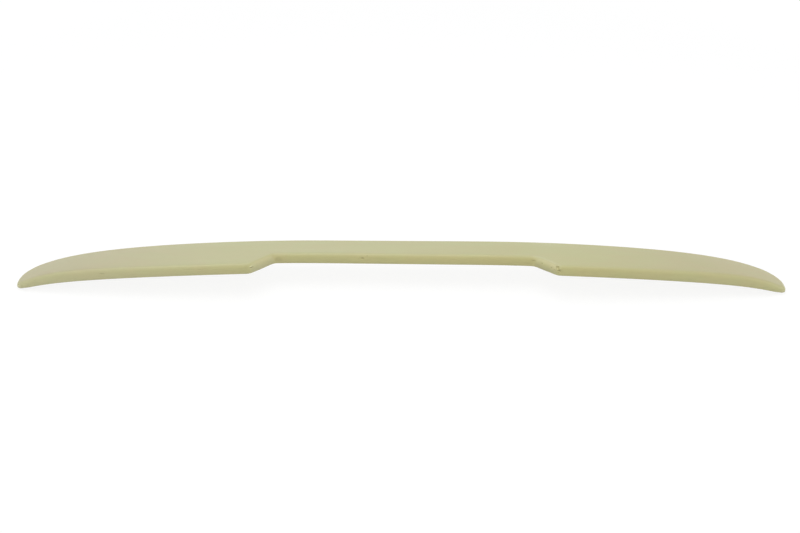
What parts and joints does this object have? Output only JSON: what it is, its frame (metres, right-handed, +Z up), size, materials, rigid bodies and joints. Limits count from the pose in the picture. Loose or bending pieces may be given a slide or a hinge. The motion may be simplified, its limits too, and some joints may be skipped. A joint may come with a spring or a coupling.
{
  "type": "rear roof spoiler",
  "caption": "Slim unpainted cast roof spoiler for a saloon car, with a wide notch in its trailing edge for the high brake light.",
  "frame": {"origin": "middle of the flat bonding land on the underside, on the centre line", "axes": "+X to the car's right along the blade, +Y to the car's front, +Z up away from the roof"},
  "size_m": [1.15, 0.103, 0.0622],
  "materials": {
    "cast_polyurethane": "unpainted, smooth and slightly satin, pale cream yellow"
  },
  "bodies": {
    "root": {"roof_spoiler": "cast_polyurethane"}
  },
  "joints": []
}
